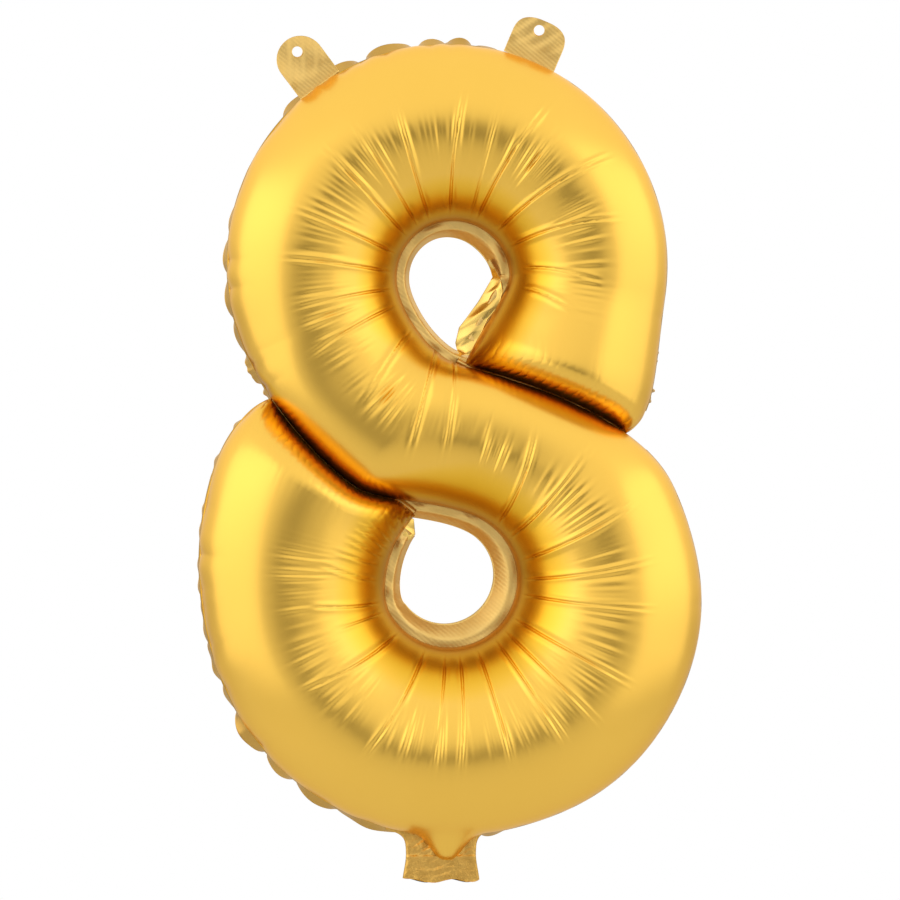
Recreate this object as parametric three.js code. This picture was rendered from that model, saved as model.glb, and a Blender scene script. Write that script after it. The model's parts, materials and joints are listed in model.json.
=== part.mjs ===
// A foil number balloon in the shape of an 8, filled with gas.
//
// Two foil sheets are welded together along one long S-shaped path, so the gas
// fills a single fat tube. The tube starts at end A, runs round the upper loop,
// crosses the waist as a diagonal spine, runs round the lower loop and stops at
// end B. Each end lies against the side of the spine.
//
// Units are millimetres, +Z is up and the front faces -Y. The welds lie in the
// plane y = 0. The origin is on the line through the two hanging holes.

import * as THREE from 'three';
import { mergeVertices } from 'three/addons/utils/BufferGeometryUtils.js';

// ---- Driving dimensions --------------------------------------------------

const FOIL = 0.6; // wall of a gas-filled sheet
const WELD_HALF = 0.5; // half the thickness of a welded margin
const RIM = WELD_HALF + 0.3; // a sheet's rim stands this far off the middle plane
const WELD_MARGIN = 2.5; // reach of a weld to either side of the gas edge
const DEPTH_RATIO = 0.88; // depth of the tube over its width
const CROWN = 0.4; // crown of the tube, as a share of its width from the outside
const OUTER_ROUND = 2; // superellipse exponent of the outer side
const HOLE_ROUND = 1.75; // the same on the side of the hole, which is flatter
const END_LENGTH = 19; // length over which an end closes
const END_ROUND = 2.6; // superellipse exponent of a closing end
const END_HOLLOW_A = 1.2; // how far end A curves in to clear the spine
const END_HOLLOW_B = 2.8; // the same for end B
const END_HOLLOW_FADE = 22; // distance over which that curve fades

const UPPER_OUTER = { x: 0.5, z: -97, r: 94.5 };
const UPPER_HOLE = { x: 4, z: -105, r: 24.5 };
const LOWER_OUTER = { x: 2.5, z: -237.5, r: 105.5 };
const LOWER_HOLE = { x: 0, z: -233, r: 28.5 };

const CORNER_A = new THREE.Vector2(75.5, -167);
const TIP_A = new THREE.Vector2(13.8, -134.2);
const CORNER_B = new THREE.Vector2(-79, -160);
const TIP_B = new THREE.Vector2(-18.5, -210);
const SPINE_P = new THREE.Vector2(-40.5, -193); // spine edge that end B touches
const SPINE_Q = new THREE.Vector2(6, -140.5); // spine edge that end A touches

const LIP_TUCK = 2; // part of the weld that lies between the two sheets
const LIP_FLAT = 3.2; // flat part of the weld that shows inside each hole
const LIP_SLOPE = 3; // sloping part, measured towards the middle of the hole
const LIP_BACK = 4; // how far the sloping part leans back

// Where each weld runs, as first and last place on its edge; the whole part of a
// place picks the stretch. Outer welds also have their number of steps.
const UPPER_SEAM = [0.45, 2.35, 34];
const LOWER_RIGHT_SEAM = [3.85, 4.655, 22];
const LOWER_LEFT_SEAM = [4.775, 5.8, 22];
const UPPER_LIP = [0, 3.12];
const LOWER_LIP = [3.42, 6];
const END_A_SPAN = [0.12, 0.86]; // shares of the width of end A
const SPINE_BY_END_A = [3.75, 3.2];
const END_B_SPAN = [0.14, 0.9]; // shares of the width of end B
const SPINE_BY_END_B = [3.3, 2.62];
const END_SEAM_STEPS = 10;

const TAB_HOLE = 4.5; // diameter of a hanging hole
const TAB_THICK = 0.8;
const TAB_CURVE_STEPS = 6;
const TAB_GAP = 0.8; // from a welded margin to the root of a tab
const LEFT_TAB = { at: 127, lean: -15, width: 19.4, length: 22.2, hole: 14.4, corner: 9 };
const RIGHT_TAB = { at: 67.1, lean: 14, width: 24.5, length: 16.8, hole: 10.5, corner: 6.5 };

const NECK_X = -2.2; // middle of the filling neck
const NECK_WIDTH = 30;
const NECK_TOP = -338.7;
const NECK_END = -351;
const TAIL_HINGE = -352; // the tail folds here
const TAIL_END = -363.6;
const TAIL_FLARE = 1; // extra half width at the open end
const TAIL_PLY = 0.5;
const VALVE_WIDTH = 24;
const VALVE_TOP = -282;
const VALVE_PLY = 0.5;
const VALVE_SLOT = 0.4; // passage through the neck
const PLY_GAP = 0.3; // between neighbouring plies

const ACROSS = 9; // steps across a sheet
const END_GRADING = 1.4; // how much closer the steps get towards each end
const RING_STEPS = 44; // steps round a hole
const STRETCH_STEPS = [9, 18, 7, 7, 17, 9]; // steps along each stretch of the tube

// ---- Curves in the plane of the welds ------------------------------------

const radians = THREE.MathUtils.degToRad;

function heading(degrees) {
  return new THREE.Vector2(Math.cos(radians(degrees)), Math.sin(radians(degrees)));
}

function onCircle(circle, degrees) {
  return new THREE.Vector2(circle.x, circle.z).addScaledVector(heading(degrees), circle.r);
}

function arc(circle, from, to) {
  const { x, z, r } = circle;
  return new THREE.EllipseCurve(x, z, r, r, radians(from), radians(to), to < from);
}

// A smooth bend that leaves one point and reaches another at given headings.
function bend(start, leaving, reachOut, end, arriving, reachIn) {
  const a = start.clone().addScaledVector(heading(leaving), reachOut);
  const b = end.clone().addScaledVector(heading(arriving), -reachIn);
  return new THREE.CubicBezierCurve(start, a, b, end);
}

// The two edges of the tube, cut into stretches that run side by side.
// Edge P is the outside of the upper loop and then the rim of the lower hole;
// edge Q is the rim of the upper hole and then the outside of the lower loop.
const EDGE_P = [
  bend(CORNER_A, 20, 9, onCircle(UPPER_OUTER, -12), 78, 30),
  arc(UPPER_OUTER, -12, 205),
  bend(onCircle(UPPER_OUTER, 205), 295, 20, SPINE_P, -35, 24),
  bend(SPINE_P, -35, 13, onCircle(LOWER_HOLE, 60), -30, 19),
  arc(LOWER_HOLE, 60, -150),
  bend(onCircle(LOWER_HOLE, -150), 120, 10.5, TIP_B, 50, 12),
];
const EDGE_Q = [
  bend(TIP_A, 90, 5, onCircle(UPPER_HOLE, -12), 78, 9),
  arc(UPPER_HOLE, -12, 195),
  bend(onCircle(UPPER_HOLE, 195), 285, 12.5, SPINE_Q, -15, 12),
  bend(SPINE_Q, -15, 21, onCircle(LOWER_OUTER, 25), -65, 35),
  arc(LOWER_OUTER, 25, -140),
  bend(onCircle(LOWER_OUTER, -140), 130, 72, CORNER_B, 8, 24),
];
const STRETCHES = EDGE_P.length;

// A point on an edge: the whole part of u picks the stretch.
function edgePoint(edge, u) {
  const stretch = Math.min(Math.floor(u), STRETCHES - 1);
  return edge[stretch].getPoint(u - stretch);
}

function middle(u) {
  return edgePoint(EDGE_P, u).add(edgePoint(EDGE_Q, u)).multiplyScalar(0.5);
}

const END_A_MIDDLE = middle(0);
const END_B_MIDDLE = middle(STRETCHES);

// ---- The gas-filled tube -------------------------------------------------

// Share of the full depth at a distance from a closed end: a superellipse.
function endShare(distance) {
  const left = 1 - THREE.MathUtils.clamp(distance / END_LENGTH, 0, 1);
  return Math.pow(1 - Math.pow(left, END_ROUND), 1 / END_ROUND);
}

// How far the section at u curves away from the spine, along the tube.
function hollow(u) {
  const m = middle(u);
  const nearA = END_HOLLOW_A * Math.exp(-m.distanceTo(END_A_MIDDLE) / END_HOLLOW_FADE);
  const nearB = END_HOLLOW_B * Math.exp(-m.distanceTo(END_B_MIDDLE) / END_HOLLOW_FADE);
  return nearA - nearB;
}

// One section of one sheet, from edge P to edge Q. side is -1 for the front
// sheet and +1 for the back one; inset is 0 on the outside of the foil.
function sheetSection(u, side, inset) {
  const p = edgePoint(EDGE_P, u);
  const q = edgePoint(EDGE_Q, u);
  const across = q.clone().sub(p);
  const width = across.length();
  across.divideScalar(width);
  const along = new THREE.Vector2(across.y, -across.x).multiplyScalar(hollow(u));
  const blend = THREE.MathUtils.smoothstep(u, 2, 4);
  const crown = THREE.MathUtils.lerp(CROWN, 1 - CROWN, blend);
  const roundP = THREE.MathUtils.lerp(OUTER_ROUND, HOLE_ROUND, blend);
  const roundQ = THREE.MathUtils.lerp(HOLE_ROUND, OUTER_ROUND, blend);
  const m = middle(u);
  const fromEnd = Math.min(m.distanceTo(END_A_MIDDLE), m.distanceTo(END_B_MIDDLE)) - inset;
  const depth = (DEPTH_RATIO * width / 2 - inset - RIM) * endShare(fromEnd);
  const points = [];
  for (let j = 0; j <= ACROSS; j += 1) {
    const turn = Math.PI * j / ACROSS;
    const c = Math.abs(Math.cos(turn));
    const early = turn < Math.PI / 2;
    const share = early ? crown * (1 - c) : crown + (1 - crown) * c;
    const exponent = early ? roundP : roundQ;
    const height = Math.pow(Math.max(0, 1 - Math.pow(c, exponent)), 1 / exponent);
    const reach = inset + share * (width - 2 * inset);
    const point = p.clone().addScaledVector(across, reach).addScaledVector(along, 4 * share * (1 - share));
    points.push(new THREE.Vector3(point.x, side * (RIM + depth * height), point.y));
  }
  return points;
}

// Places along the tube: evenly spaced, but closer together towards each end.
function stations() {
  const list = [];
  STRETCH_STEPS.forEach((steps, stretch) => {
    for (let i = 0; i < steps; i += 1) {
      const even = i / steps;
      const fromStart = Math.pow(even, END_GRADING);
      const fromFinish = 1 - Math.pow(1 - even, END_GRADING);
      const graded = stretch === 0 ? fromStart : even;
      list.push(stretch + (stretch === STRETCHES - 1 ? fromFinish : graded));
    }
  });
  list.push(STRETCHES);
  return list;
}

// ---- Closed solids -------------------------------------------------------

// A solid between two equal grids of points, with its rims closed. A looped
// solid joins its last row to its first.
function solidBetween(outside, inside, looped = false) {
  const rows = outside.length;
  const columns = outside[0].length;
  const positions = [...outside.flat(), ...inside.flat()].flatMap((v) => [v.x, v.y, v.z]);
  const outer = (i, j) => (i % rows) * columns + j;
  const inner = (i, j) => (rows + (i % rows)) * columns + j;
  const index = [];
  const quad = (a, b, c, d) => index.push(a, b, c, a, c, d);
  const spans = looped ? rows : rows - 1;
  for (let i = 0; i < spans; i += 1) {
    for (let j = 0; j < columns - 1; j += 1) {
      quad(outer(i, j), outer(i + 1, j), outer(i + 1, j + 1), outer(i, j + 1));
      quad(inner(i, j), inner(i, j + 1), inner(i + 1, j + 1), inner(i + 1, j));
    }
    quad(outer(i, 0), inner(i, 0), inner(i + 1, 0), outer(i + 1, 0));
    const last = columns - 1;
    quad(outer(i, last), outer(i + 1, last), inner(i + 1, last), inner(i, last));
  }
  for (let j = 0; j < columns - 1 && !looped; j += 1) {
    const end = rows - 1;
    quad(outer(0, j), outer(0, j + 1), inner(0, j + 1), inner(0, j));
    quad(outer(end, j), inner(end, j), inner(end, j + 1), outer(end, j + 1));
  }
  return facingOut(new Float32Array(positions), index);
}

// Turns the triangles over if they enclose a negative volume.
function facingOut(positions, index) {
  const corner = (k) => new THREE.Vector3().fromArray(positions, 3 * index[k]);
  let volume = 0;
  for (let k = 0; k < index.length; k += 3) {
    volume += corner(k).dot(corner(k + 1).cross(corner(k + 2)));
  }
  const geometry = new THREE.BufferGeometry();
  geometry.setAttribute('position', new THREE.BufferAttribute(positions, 3));
  geometry.setIndex(volume < 0 ? [...index].reverse() : index);
  geometry.computeVertexNormals();
  return geometry;
}

// A flat strip, as thick as a weld, between two equal rows of plane points.
function weldStrip(left, right) {
  const face = (y) => left.map((a, i) => [
    new THREE.Vector3(a.x, y, a.y),
    new THREE.Vector3(right[i].x, y, right[i].y),
  ]);
  return solidBetween(face(-WELD_HALF), face(WELD_HALF));
}

// A flat outline made solid, standing in the plane of the welds.
function flatPlate(outline, thickness, curveSegments = 8) {
  const settings = { depth: thickness, bevelEnabled: false, curveSegments };
  const geometry = new THREE.ExtrudeGeometry(outline, settings);
  geometry.translate(0, 0, -thickness / 2);
  geometry.rotateX(Math.PI / 2);
  geometry.deleteAttribute('normal');
  geometry.deleteAttribute('uv');
  const merged = mergeVertices(geometry, 1e-4);
  merged.computeVertexNormals();
  return merged;
}

// ---- Finishes ------------------------------------------------------------

function finish(color, roughness, metalness) {
  return new THREE.MeshStandardMaterial({ color, roughness, metalness });
}

const GOLD_FOIL = finish(0xe3b54a, 0.36, 1);
const WELDED_FOIL = finish(0xd9b266, 0.5, 0.8);
const VALVE_FILM = finish(0xe9ecec, 0.4, 0);

const balloon = new THREE.Group();

function addPiece(name, geometry, material, parent = balloon) {
  const mesh = new THREE.Mesh(geometry, material);
  mesh.name = name;
  parent.add(mesh);
  return mesh;
}

// ---- Foil sheets ---------------------------------------------------------

// The inside of the foil starts one wall thickness in from each end.
function insideStations(list) {
  const first = list[1] * FOIL / middle(list[1]).distanceTo(END_A_MIDDLE);
  const before = list[list.length - 2];
  const lastStep = STRETCHES - before;
  const last = STRETCHES - lastStep * FOIL / middle(before).distanceTo(END_B_MIDDLE);
  return [first, ...list.slice(1, -1), last];
}

function foilSheet(side) {
  const outside = stations();
  const inside = insideStations(outside);
  return solidBetween(
    outside.map((u) => sheetSection(u, side, 0)),
    inside.map((u) => sheetSection(u, side, FOIL)),
  );
}

// ---- Welded margins ------------------------------------------------------

// Unit vector that points out of the tube at an edge.
function outward(edge, u) {
  const other = edge === EDGE_P ? EDGE_Q : EDGE_P;
  return edgePoint(edge, u).sub(edgePoint(other, u)).normalize();
}

// Points beside an edge, from one place to another, moved out of the tube.
function besideEdge(edge, from, to, steps, offset) {
  return Array.from({ length: steps + 1 }, (_, i) => {
    const u = THREE.MathUtils.lerp(from, to, i / steps);
    return edgePoint(edge, u).addScaledVector(outward(edge, u), offset);
  });
}

function edgeWeld(edge, from, to, steps) {
  return weldStrip(
    besideEdge(edge, from, to, steps, -WELD_MARGIN),
    besideEdge(edge, from, to, steps, WELD_MARGIN),
  );
}

// Points along a closed end, moved into the tube by a margin.
function alongEnd(u, from, to, steps, margin) {
  const p = edgePoint(EDGE_P, u);
  const q = edgePoint(EDGE_Q, u);
  const across = q.clone().sub(p);
  const sideways = new THREE.Vector2(across.y, -across.x).normalize();
  const inwards = u === 0 ? 1 : -1;
  return Array.from({ length: steps + 1 }, (_, i) => {
    const share = THREE.MathUtils.lerp(from, to, i / steps);
    const curve = 4 * share * (1 - share) * hollow(u) + inwards * margin;
    return p.clone().addScaledVector(across, share).addScaledVector(sideways, curve);
  });
}

// The outline of a hole: one edge of the tube, from tip to tip.
function holeOutline(edge, from, to) {
  return Array.from({ length: RING_STEPS }, (_, i) => {
    const u = THREE.MathUtils.lerp(from, to, i / (RING_STEPS - 1));
    return edgePoint(edge, u);
  });
}

// The weld round a hole: flat at first, then leaning back like a funnel.
function holeLip(hole, outline) {
  const profile = [
    { out: LIP_TUCK, back: 0 },
    { out: -LIP_FLAT, back: 0 },
    { out: -LIP_FLAT - LIP_SLOPE, back: LIP_BACK },
  ];
  const centre = new THREE.Vector2(hole.x, hole.z);
  const face = (side) => outline.map((point) => profile.map(({ out, back }) => {
    const away = point.clone().sub(centre);
    const spot = centre.clone().addScaledVector(away, 1 + out / away.length());
    return new THREE.Vector3(spot.x, back + side * WELD_HALF, spot.y);
  }));
  return solidBetween(face(-1), face(1), true);
}

// ---- Hanging tabs --------------------------------------------------------

// A tongue that stands on the outer weld of the upper loop. It is drawn
// upright, with its root on the origin and its root edge along the weld.
function tabOutline({ lean, width, length, hole, corner }) {
  const half = width / 2;
  const slope = Math.tan(radians(-lean));
  const at = (x, y) => [x + slope * y, y];
  const outline = new THREE.Shape();
  outline.moveTo(...at(-half, 0));
  outline.lineTo(...at(half, 0));
  outline.lineTo(...at(half, length - corner));
  const [low, high] = [length - corner / 2, half - corner / 2];
  outline.bezierCurveTo(...at(half, low), ...at(high, length), ...at(half - corner, length));
  outline.lineTo(...at(corner - half, length));
  outline.bezierCurveTo(...at(-high, length), ...at(-half, low), ...at(-half, length - corner));
  outline.closePath();
  const hanging = new THREE.Path();
  hanging.absarc(...at(0, hole), TAB_HOLE / 2, 0, 2 * Math.PI, true);
  outline.holes.push(hanging);
  return outline;
}

function addTab(name, tab) {
  const root = { ...UPPER_OUTER, r: UPPER_OUTER.r + WELD_MARGIN + TAB_GAP };
  const spot = onCircle(root, tab.at);
  const holder = new THREE.Group();
  holder.position.set(spot.x, 0, spot.y);
  holder.rotation.y = -radians(tab.at - 90);
  balloon.add(holder);
  addPiece(name, flatPlate(tabOutline(tab), TAB_THICK, TAB_CURVE_STEPS), WELDED_FOIL, holder);
}

// ---- Filling neck, tail and valve ----------------------------------------

// A flat sleeve: the passage through it is where the gas goes in.
function neckSleeve() {
  const outline = new THREE.Shape();
  const half = NECK_WIDTH / 2;
  outline.moveTo(-half, -WELD_HALF);
  outline.lineTo(half, -WELD_HALF);
  outline.lineTo(half, WELD_HALF);
  outline.lineTo(-half, WELD_HALF);
  outline.closePath();
  const passage = new THREE.Path();
  const wide = VALVE_WIDTH / 2;
  const slot = VALVE_SLOT / 2;
  passage.moveTo(-wide, -slot);
  passage.lineTo(-wide, slot);
  passage.lineTo(wide, slot);
  passage.lineTo(wide, -slot);
  passage.closePath();
  outline.holes.push(passage);
  const settings = { depth: NECK_TOP - NECK_END, bevelEnabled: false };
  const geometry = new THREE.ExtrudeGeometry(outline, settings);
  geometry.deleteAttribute('normal');
  geometry.deleteAttribute('uv');
  const merged = mergeVertices(geometry, 1e-4);
  merged.computeVertexNormals();
  return merged;
}

// One flap of the open tail, a little wider at its lower end.
function tailFlap() {
  const half = NECK_WIDTH / 2;
  const drop = TAIL_END - TAIL_HINGE;
  const outline = new THREE.Shape();
  outline.moveTo(-half, 0);
  outline.lineTo(-half - TAIL_FLARE, drop);
  outline.lineTo(half + TAIL_FLARE, drop);
  outline.lineTo(half, 0);
  outline.closePath();
  return flatPlate(outline, TAIL_PLY);
}

// One film of the valve tongue that hangs inside the balloon, closing flat.
function valveFilm() {
  const half = VALVE_WIDTH / 2;
  const rise = VALVE_TOP - NECK_TOP - PLY_GAP;
  const outline = new THREE.Shape();
  outline.moveTo(-half, 0);
  outline.lineTo(half, 0);
  outline.lineTo(half, rise);
  outline.lineTo(-half, rise);
  outline.closePath();
  return flatPlate(outline, VALVE_PLY);
}

function addNeckAndValve() {
  const neck = addPiece('filling_neck', neckSleeve(), WELDED_FOIL);
  neck.position.set(NECK_X, 0, NECK_END);
  [['front', -1], ['back', 1]].forEach(([face, side]) => {
    const tail = addPiece(`tail_${face}_ply`, tailFlap(), WELDED_FOIL);
    tail.position.set(NECK_X, side * (TAIL_PLY + PLY_GAP) / 2, TAIL_HINGE);
    const film = addPiece(`valve_${face}_ply`, valveFilm(), VALVE_FILM);
    film.position.set(NECK_X, side * (VALVE_PLY + PLY_GAP) / 2, NECK_TOP + PLY_GAP);
  });
}

// ---- Assembly ------------------------------------------------------------

addPiece('front_foil', foilSheet(-1), GOLD_FOIL);
addPiece('back_foil', foilSheet(1), GOLD_FOIL);

addPiece('upper_outer_seam', edgeWeld(EDGE_P, ...UPPER_SEAM), WELDED_FOIL);
addPiece('lower_right_seam', edgeWeld(EDGE_Q, ...LOWER_RIGHT_SEAM), WELDED_FOIL);
addPiece('lower_left_seam', edgeWeld(EDGE_Q, ...LOWER_LEFT_SEAM), WELDED_FOIL);

addPiece('upper_end_seam', weldStrip(
  alongEnd(0, ...END_A_SPAN, END_SEAM_STEPS, WELD_MARGIN),
  besideEdge(EDGE_Q, ...SPINE_BY_END_A, END_SEAM_STEPS, -WELD_MARGIN),
), WELDED_FOIL);
addPiece('lower_end_seam', weldStrip(
  alongEnd(STRETCHES, ...END_B_SPAN, END_SEAM_STEPS, WELD_MARGIN),
  besideEdge(EDGE_P, ...SPINE_BY_END_B, END_SEAM_STEPS, -WELD_MARGIN),
), WELDED_FOIL);

addPiece('upper_hole_seam', holeLip(UPPER_HOLE, holeOutline(EDGE_Q, ...UPPER_LIP)), WELDED_FOIL);
addPiece('lower_hole_seam', holeLip(LOWER_HOLE, holeOutline(EDGE_P, ...LOWER_LIP)), WELDED_FOIL);

addTab('left_hanging_tab', LEFT_TAB);
addTab('right_hanging_tab', RIGHT_TAB);
addNeckAndValve();

export default balloon;
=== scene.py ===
import json
import math

import bpy
import numpy as np
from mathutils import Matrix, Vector


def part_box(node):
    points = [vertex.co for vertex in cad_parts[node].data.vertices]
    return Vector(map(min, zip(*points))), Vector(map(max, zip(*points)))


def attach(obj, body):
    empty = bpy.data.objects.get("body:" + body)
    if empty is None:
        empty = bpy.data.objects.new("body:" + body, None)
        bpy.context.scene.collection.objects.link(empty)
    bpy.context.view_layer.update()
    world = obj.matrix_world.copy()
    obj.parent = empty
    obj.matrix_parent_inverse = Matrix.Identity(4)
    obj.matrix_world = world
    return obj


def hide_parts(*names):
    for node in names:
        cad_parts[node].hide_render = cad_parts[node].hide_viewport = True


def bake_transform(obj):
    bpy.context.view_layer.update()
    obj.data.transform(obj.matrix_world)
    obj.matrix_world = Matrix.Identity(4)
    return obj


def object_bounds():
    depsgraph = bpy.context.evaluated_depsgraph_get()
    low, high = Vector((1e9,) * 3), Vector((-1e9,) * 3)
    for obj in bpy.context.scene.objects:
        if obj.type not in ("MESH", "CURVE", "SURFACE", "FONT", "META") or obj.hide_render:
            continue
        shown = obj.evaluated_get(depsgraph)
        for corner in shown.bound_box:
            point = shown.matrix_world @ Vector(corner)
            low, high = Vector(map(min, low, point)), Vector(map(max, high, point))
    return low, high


# A gas-filled foil number balloon in the shape of an 8. Two foil sheets are
# welded along one S-shaped path, so they make a single fat tube. Metres, +Z up,
# front towards -Y, welds in the plane y = 0.

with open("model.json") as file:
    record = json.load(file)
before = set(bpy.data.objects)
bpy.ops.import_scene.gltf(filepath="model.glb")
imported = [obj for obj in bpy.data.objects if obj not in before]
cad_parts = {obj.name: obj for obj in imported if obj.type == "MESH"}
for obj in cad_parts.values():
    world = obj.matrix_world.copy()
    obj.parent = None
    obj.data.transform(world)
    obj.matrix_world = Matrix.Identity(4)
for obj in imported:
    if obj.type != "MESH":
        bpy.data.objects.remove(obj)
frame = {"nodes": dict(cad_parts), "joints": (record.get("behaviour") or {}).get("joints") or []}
cad_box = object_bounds()
rng = np.random.default_rng(8)

MM = 0.001

# ---- The tube's two edges, worked out from the frame ----

FOIL_LOW, FOIL_HIGH = (np.array(corner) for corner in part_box("front_foil"))
WELD_REACH = 2.5 * MM
LIP_REACH = 2.0 * MM

UPPER_RADIUS = 94.5 * MM
LOWER_RADIUS = 105.5 * MM
UPPER_HOLE_RADIUS = 24.5 * MM
LOWER_HOLE_RADIUS = 28.5 * MM


def upper_centre():
    """Middle of the upper loop's outer circle, in from the left side of its weld's box and down
    from the top of the foil."""
    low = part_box("upper_outer_seam")[0]
    return np.array([low.x + WELD_REACH + UPPER_RADIUS, FOIL_HIGH[2] - UPPER_RADIUS])


def lower_centre():
    """Middle of the lower loop's outer circle, from the right side and the bottom of the foil."""
    return np.array([FOIL_HIGH[0] - LOWER_RADIUS, FOIL_LOW[2] + LOWER_RADIUS])


def hole_centre(node, radius, from_top):
    """Middle of a hole, in from the left of its weld's box and from its top or its bottom."""
    low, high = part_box(node)
    reach = radius + LIP_REACH
    return np.array([low.x + reach, high.z - reach if from_top else low.z + reach])


UPPER_OUTER = (upper_centre(), UPPER_RADIUS)
LOWER_OUTER = (lower_centre(), LOWER_RADIUS)
UPPER_HUB = (hole_centre("upper_hole_seam", UPPER_HOLE_RADIUS, True), UPPER_HOLE_RADIUS)
UPPER_HOLE = (UPPER_HUB[0] + np.array([-1.1, 2.1]) * MM, 24.3 * MM)
LOWER_HOLE = (hole_centre("lower_hole_seam", LOWER_HOLE_RADIUS, False), 29.2 * MM)


def near(circle, x, z):
    """A point given by its distance from a circle's middle, in millimetres."""
    return circle[0] + np.array([x, z]) * MM


# End A hangs from the upper loop on the right and end B rises from the lower loop on the
# left. Each has a corner outside and a tip at a hole, and the spine runs between them.
CORNER_A = near(UPPER_OUTER, 77.5, -71.5)
TIP_A = near(UPPER_HUB, 6.8, -29.4)
CORNER_B = near(LOWER_OUTER, -81.5, 77.5)
TIP_B = near(LOWER_HOLE, -18.5, 23)
SPINE_P = near(LOWER_HOLE, -40.5, 40)
SPINE_Q = near(UPPER_HUB, 2, -35.5)


def heading(degrees):
    angle = np.radians(degrees)
    return np.stack([np.cos(angle), np.sin(angle)], -1)


def on_circle(circle, degrees):
    return circle[0] + circle[1] * heading(degrees)


def arc(circle, start, stop):
    """A stretch of edge that follows a circle between two angles."""
    return lambda t: on_circle(circle, start + (stop - start) * t)


def swollen_arc(circle, start, stop, swell, middle, spread):
    """An arc whose radius grows by swell mm round one angle, fading over the spread in degrees."""
    def stretch(t):
        degrees = start + (stop - start) * np.asarray(t)
        away = (degrees - middle) / spread
        more = 1 + swell * MM / circle[1] * np.exp(-away ** 4)
        return circle[0] + circle[1] * more[..., None] * heading(degrees)

    return stretch


def bend(start, leaving, reach_out, end, arriving, reach_in):
    """A cubic Bezier stretch between two points, with given headings and reaches in mm there."""
    a = start + heading(leaving) * reach_out * MM
    b = end - heading(arriving) * reach_in * MM

    def stretch(t):
        t = np.asarray(t)[..., None]
        return (1 - t) ** 3 * start + 3 * (1 - t) ** 2 * t * a + 3 * (1 - t) * t * t * b + t ** 3 * end

    return stretch


# Edge P runs round the outside of the upper loop, down the left of the spine and round the
# lower hole. Edge Q runs round the upper hole, down the spine's right and round the outside
# of the lower loop. Each has six stretches, and the tube lies between them.
EDGE_P = [
    bend(CORNER_A, 25, 13, on_circle(UPPER_OUTER, -8), 82, 34),
    arc(UPPER_OUTER, -8, 205),
    bend(on_circle(UPPER_OUTER, 205), 295, 20, SPINE_P, -35, 24),
    bend(SPINE_P, -35, 13, on_circle(LOWER_HOLE, 60), -30, 19),
    arc(LOWER_HOLE, 60, -150),
    bend(on_circle(LOWER_HOLE, -150), 120, 10.5, TIP_B, 50, 12),
]
EDGE_Q = [
    bend(TIP_A, 66, 13, on_circle(UPPER_HOLE, 3), 84, 7),
    arc(UPPER_HOLE, 3, 195),
    bend(on_circle(UPPER_HOLE, 195), 285, 12.5, SPINE_Q, -15, 12),
    bend(SPINE_Q, -15, 21, on_circle(LOWER_OUTER, 25), -65, 35),
    swollen_arc(LOWER_OUTER, 25, -140, 3, -28, 36),
    bend(on_circle(LOWER_OUTER, -140), 130, 72, CORNER_B, 8, 24),
]
STRETCHES = len(EDGE_P)


def edge_at(edge, u):
    """Points on an edge; the whole part of u picks the stretch and the rest the place along it."""
    u = np.atleast_1d(u)
    index = np.clip(u.astype(int), 0, STRETCHES - 1)
    points = np.empty((len(u), 2))
    for k, stretch in enumerate(edge):
        points[index == k] = stretch(u[index == k] - k)
    return points


def middle_at(u):
    return (edge_at(EDGE_P, u) + edge_at(EDGE_Q, u)) / 2


def smooth(x, low, high):
    """0 below low, 1 above high, and an S-curve between them."""
    t = np.clip((x - low) / (high - low), 0, 1)
    return t * t * (3 - 2 * t)


def unit(v):
    return v / np.maximum(np.linalg.norm(v, axis=-1, keepdims=True), 1e-12)


PAIR_WINDOW = 121  # places that the pairing is evened out over


def square_pairs(u, edge, reach=0.45, tries=301):
    """For each u, the place on an edge where a line square to the tube's middle meets it. Close
    to both ends it goes over to u itself, so that the tube still ends from corner to corner."""
    middle = middle_at(u)
    along = unit(np.gradient(middle, axis=0))
    shift = np.linspace(-reach, reach, tries)
    spots = np.clip(u[:, None] + shift, 0, STRETCHES)
    points = edge_at(edge, spots.ravel()).reshape(*spots.shape, 2)
    ahead = ((points - middle[:, None]) * along[:, None]).sum(-1)
    best = np.argmin(np.abs(ahead) + 0.004 * np.abs(shift), axis=1)
    rows = np.arange(len(u))
    slope = np.gradient(ahead, shift, axis=1)[rows, best]
    found = shift[best] - ahead[rows, best] / np.where(np.abs(slope) < 0.02, 1, slope)
    found = np.clip(found, -reach, reach) * smooth(np.minimum(u, STRETCHES - u), 0.1, 0.7)
    even = np.ones(PAIR_WINDOW) / PAIR_WINDOW
    found = np.convolve(np.pad(found, PAIR_WINDOW // 2, mode="edge"), even, mode="valid")
    return np.maximum.accumulate(u + found)


PAIR_U = np.linspace(0, STRETCHES, 3001)
PAIR_P = square_pairs(PAIR_U, EDGE_P)
PAIR_Q = square_pairs(PAIR_U, EDGE_Q)


# ---- Shape of the filled tube ----

CROWN = 0.46  # place of the crown, as a share of the width from the outer edge
OUTER_ROUND = 2.0
HOLE_ROUND = 1.85
SPINE_ROUND = 3.0  # of the sides that the two ends press against
END_LENGTH = 14 * MM
END_ROUND = 2.5
END_FADE = 20 * MM
END_CLEARANCE = 0.3 * MM
MOST_LEAN = 6 * MM
RIM = 0.25 * MM
HALF_DEPTH = -FOIL_LOW[1]
FUNNEL_X = 2.5 * MM  # the throat above the filling neck, from the neck's middle
FUNNEL_DROP = 10.6 * MM
FUNNEL_WIDTH = 8.6 * MM


def pair_at(u):
    """The places on both edges that one section of the tube joins."""
    return np.interp(u, PAIR_U, PAIR_P), np.interp(u, PAIR_U, PAIR_Q)


def lengths_along(points):
    """How far along a line each of its points lies."""
    return np.concatenate([[0], np.cumsum(np.linalg.norm(np.diff(points, axis=0), axis=1))])


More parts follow.
